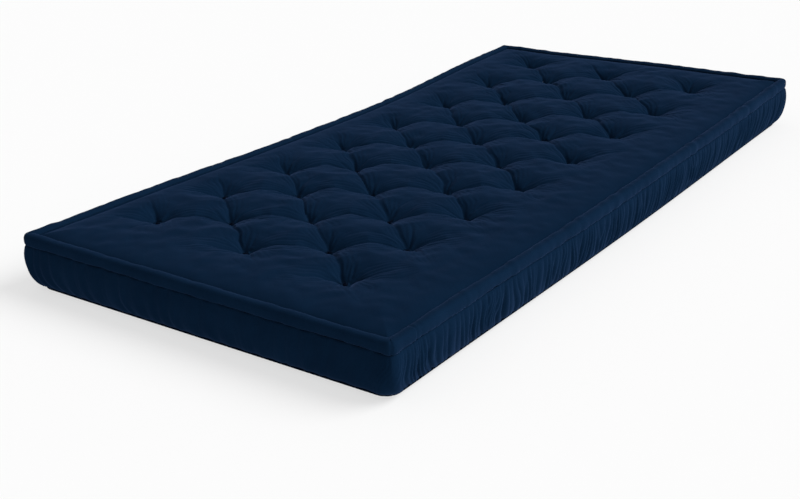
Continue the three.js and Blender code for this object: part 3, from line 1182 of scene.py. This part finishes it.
def stitch_line(name, points, row):
    """A run of stitches sewn through a ring of cloth, along one of its rows."""
    lying = settled(points)
    normals = ring_normals(lying)
    line = np.concatenate([lying[:, row], lying[:, row, :1]], axis=1)
    facing = np.concatenate([normals[:, row], normals[:, row, :1]], axis=1)
    along = lengths_along(line.T)
    share = np.linspace(-0.5, 0.5, 5)
    lift = 0.00055 * np.cos(math.pi * share) - STITCH_SINK
    parts = []
    for middle in np.arange(STITCH_PITCH / 2, along[-1], STITCH_PITCH):
        at = middle + share * STITCH_LENGTH
        path = np.stack([np.interp(at, along, line[k]) for k in range(3)], axis=1)
        raised = np.stack([np.interp(at, along, facing[k]) for k in range(3)], axis=1)
        parts.append((*tube(path + raised * lift[:, None], STITCH_RADIUS), 0))
    seam = joined(name, parts)
    finish_piece(seam, TWINE)


stitch_line("edge_roll_upper_stitches", roll_points, ROLL_STITCH_ROW)
stitch_line("side_band_base_stitches", band_points, BAND_STITCH_ROW)

# ---- stuffing

BATT_INSET = 0.027
BATT_BOTTOM = 0.0726
CORE_BOTTOM = 0.0403
CORE_TOP = 0.072
SLAB_INSET = 0.026
LOWER_BATT_BOTTOM = 0.012
SLAB_GRID = (181, 381)
BATT_UNDER_TOP = 0.0085


def make_upper_batt(points):
    """The cotton felt under the top cloth, pressed to its shape from above and flat below."""
    front = points[:, ::4, ::4].copy()
    front[0] *= (HALF_WIDTH - BATT_INSET) / (HALF_WIDTH - TOP_INSET)
    front[1] *= (HALF_LENGTH - BATT_INSET) / (HALF_LENGTH - TOP_INSET)
    front[2] -= BATT_UNDER_TOP
    back = front.copy()
    back[2] = BATT_BOTTOM
    return closed_sheet("upper_batt_felt", settled(front), settled(back), skip=1)


def make_slab(name, bottom, top, unevenness, rng):
    """A block of stuffing with softly rounded edges and an uneven skin."""
    x, y = np.meshgrid(
        np.linspace(SLAB_INSET - HALF_WIDTH, HALF_WIDTH - SLAB_INSET, SLAB_GRID[0]),
        np.linspace(SLAB_INSET - HALF_LENGTH, HALF_LENGTH - SLAB_INSET, SLAB_GRID[1]),
    )
    rim = np.minimum(x.max() - np.abs(x), y.max() - np.abs(y))
    rounding = 0.006 * np.exp(-rim / 0.004)
    front = np.stack([x, y, top - rounding + unevenness * noise(x.shape, 5 * MM, 0.03, rng)])
    back = np.stack([x, y, bottom + rounding + unevenness * noise(x.shape, 5 * MM, 0.03, rng)])
    return closed_sheet(name, settled(front), settled(back), skip=1)


finish_piece(make_upper_batt(top_points), COTTON, ["upper_cotton_batt"])
latex = make_slab("latex_core_foam", CORE_BOTTOM, CORE_TOP, 0.0001, rng)
finish_piece(latex, LATEX, ["latex_core"])
lower_batt = make_slab("lower_batt_felt", LOWER_BATT_BOTTOM, CORE_BOTTOM - 0.0008, 0.0005, rng)
finish_piece(lower_batt, COTTON, ["lower_cotton_batt"])

# ---- floor, light and camera

WHITE = (1, 1, 1, 1)
FLOOR_HALF = 14.0
FLOOR_GAP = 0.0005
FLOOR_GLOW = 0.62
FLOOR_COLOUR = 0.34
SKY = 0.4
KEY_POWER = 2.7
KEY_PLACE = (38, 42)
FILL_POWER = 1.0
FILL_PLACE = (4, 13)
SUN_SPREAD = 40


def make_floor():
    """A pale floor that glows a little, as a light table does, so that shadows on it stay soft."""
    mesh = bpy.data.meshes.new("floor")
    half = FLOOR_HALF
    low = -FLOOR_GAP
    corners = [(-half, -half, low), (half, -half, low), (half, half, low), (-half, half, low)]
    mesh.from_pydata(corners, [], [(0, 1, 2, 3)])
    floor = add_object("floor", mesh)
    material, _, shader = new_material("pale_floor", 0.9, 0.0)
    grey = (FLOOR_COLOUR, FLOOR_COLOUR, FLOOR_COLOUR, 1)
    set_inputs(shader, Base_Color=grey, Emission_Color=WHITE, Emission_Strength=FLOOR_GLOW)
    mesh.materials.append(material)


def direction_to(azimuth, elevation):
    """Unit vector at an angle from +X towards +Y and above the floor, both in degrees."""
    azimuth = math.radians(azimuth)
    elevation = math.radians(elevation)
    flat = math.cos(elevation)
    return Vector((flat * math.cos(azimuth), flat * math.sin(azimuth), math.sin(elevation)))


def make_sun(name, power, place, shadow):
    """One broad soft light. place is its azimuth and elevation, as in direction_to."""
    data = bpy.data.lights.new(name, "SUN")
    data.energy = power
    data.angle = math.radians(SUN_SPREAD)
    data.use_shadow = shadow
    light = add_object(name, data)
    light.rotation_euler = (-direction_to(*place)).to_track_quat("-Z", "Y").to_euler()


def make_sky():
    world = bpy.data.worlds.new("studio")
    world.use_nodes = True
    set_inputs(world.node_tree.nodes["Background"], Color=WHITE, Strength=SKY)
    bpy.context.scene.world = world
    bpy.context.scene.view_settings.view_transform = "Standard"


def make_camera():
    back = direction_to(CAMERA_AZIMUTH - 90, CAMERA_ELEVATION)
    data = bpy.data.cameras.new("camera")
    data.lens = LENS
    data.sensor_width = 36
    camera = add_object("camera", data)
    camera.location = Vector(CAMERA_TARGET) + back * CAMERA_DISTANCE
    turn = (-back).to_track_quat("-Z", "Y").to_matrix().to_4x4()
    roll = Matrix.Rotation(math.radians(CAMERA_ROLL), 4, "Z")
    camera.rotation_euler = (turn @ roll).to_euler()
    bpy.context.scene.camera = camera


make_floor()
make_sun("soft_key", KEY_POWER, KEY_PLACE, True)
make_sun("low_fill", FILL_POWER, FILL_PLACE, False)
make_sky()
make_camera()
